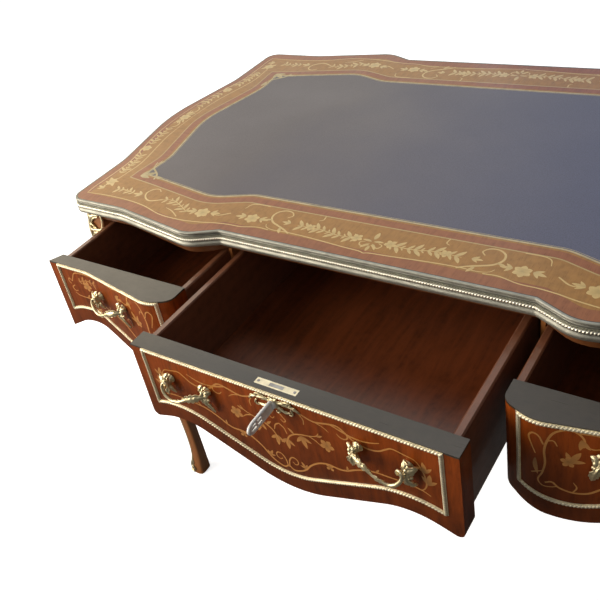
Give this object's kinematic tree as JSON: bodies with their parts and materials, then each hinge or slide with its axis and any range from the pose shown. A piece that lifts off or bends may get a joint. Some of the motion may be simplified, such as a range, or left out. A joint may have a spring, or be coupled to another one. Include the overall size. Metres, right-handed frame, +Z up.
{
  "type": "serpentine writing desk with three frieze drawers",
  "caption": "Serpentine writing desk on cabriole legs, with shaped frieze drawers, inlaid veneer, a leather top and gilt mounts; drawers slide, key turns.",
  "frame": {"origin": "on the floor, under the middle of the carcass", "axes": "+X to the sitter's right along the desk, +Y from the sitter towards the back, +Z up"},
  "size_m": [1.3122, 1.0338, 0.78],
  "materials": {
    "carcass_wood": "polished veneer, dark red-brown",
    "kingwood_veneer": "polished crossbanded veneer",
    "marquetry": "polished inlaid veneer",
    "front_veneer": "polished inlaid veneer, red-brown",
    "ebonised_wood": "black stained and polished",
    "drawer_lining": "waxed mahogany",
    "secondary_wood": "plain, unfinished",
    "gilt_brass": "gilt, softly worn",
    "writing_leather": "smooth blue-grey",
    "lock_steel": "satin",
    "key_nickel": "worn nickel"
  },
  "bodies": {
    "desk": {"top_core": "carcass_wood", "top_edge_moulding": "gilt_brass", "outer_crossband": "kingwood_veneer", "marquetry_band": "marquetry", "writing_leather": "writing_leather", "front_right_leg": "carcass_wood", "front_left_leg": "carcass_wood", "back_right_leg": "carcass_wood", "back_left_leg": "carcass_wood", "knee_mounts": "gilt_brass", "leg_edge_strips": "gilt_brass", "sabots": "gilt_brass", "front_rail": "carcass_wood", "back_rail": "carcass_wood", "back_board": "secondary_wood", "right_apron": "front_veneer", "left_apron": "front_veneer", "right_divider": "secondary_wood", "left_divider": "secondary_wood", "bearer_rails": "secondary_wood", "drawer_runners": "secondary_wood", "drawer_guides": "secondary_wood", "drawer_kickers": "secondary_wood", "glue_blocks": "secondary_wood", "back_centre_false_front": "front_veneer", "back_side_false_fronts": "front_veneer"},
    "left_drawer": {"left_drawer_front": "front_veneer", "left_drawer_cap": "ebonised_wood", "left_drawer_sides": "drawer_lining", "left_drawer_back": "drawer_lining", "left_drawer_floor": "drawer_lining", "left_drawer_rope_border": "gilt_brass", "left_drawer_pull": "gilt_brass"},
    "centre_drawer": {"centre_drawer_front": "front_veneer", "centre_drawer_cap": "ebonised_wood", "centre_drawer_sides": "drawer_lining", "centre_drawer_back": "drawer_lining", "centre_drawer_floor": "drawer_lining", "centre_drawer_rope_border": "gilt_brass", "centre_drawer_pulls": "gilt_brass", "escutcheon": "gilt_brass", "lock_case": "lock_steel", "lock_plate": "lock_steel"},
    "right_drawer": {"right_drawer_front": "front_veneer", "right_drawer_cap": "ebonised_wood", "right_drawer_sides": "drawer_lining", "right_drawer_back": "drawer_lining", "right_drawer_floor": "drawer_lining", "right_drawer_rope_border": "gilt_brass", "right_drawer_pull": "gilt_brass"},
    "key": {"key": "key_nickel"},
    "lock_bolt": {"lock_bolt": "lock_steel"}
  },
  "joints": [
    {"name": "left_drawer_slide", "type": "slide", "parent": "desk", "child": "left_drawer", "axis": [0, -1, 0], "range_m": [-0.148, 0.152]},
    {"name": "centre_drawer_slide", "type": "slide", "parent": "desk", "child": "centre_drawer", "axis": [0, -1, 0], "range_m": [-0.259, 0.091]},
    {"name": "right_drawer_slide", "type": "slide", "parent": "desk", "child": "right_drawer", "axis": [0, -1, 0], "range_m": [-0.148, 0.152]},
    {"name": "key_turn", "type": "hinge", "parent": "centre_drawer", "child": "key", "pos_m": [0, -0.6, 0.714], "axis": [0, 1, 0], "range_deg": [0, 180]},
    {"name": "lock_bolt_slide", "type": "slide", "parent": "centre_drawer", "child": "lock_bolt", "axis": [0, 0, 1], "range_m": [0, 0.008]}
  ],
  "couplings": [
    {"joint": "lock_bolt_slide", "follows": "key_turn", "m_per_rad": 0.0025439}
  ]
}
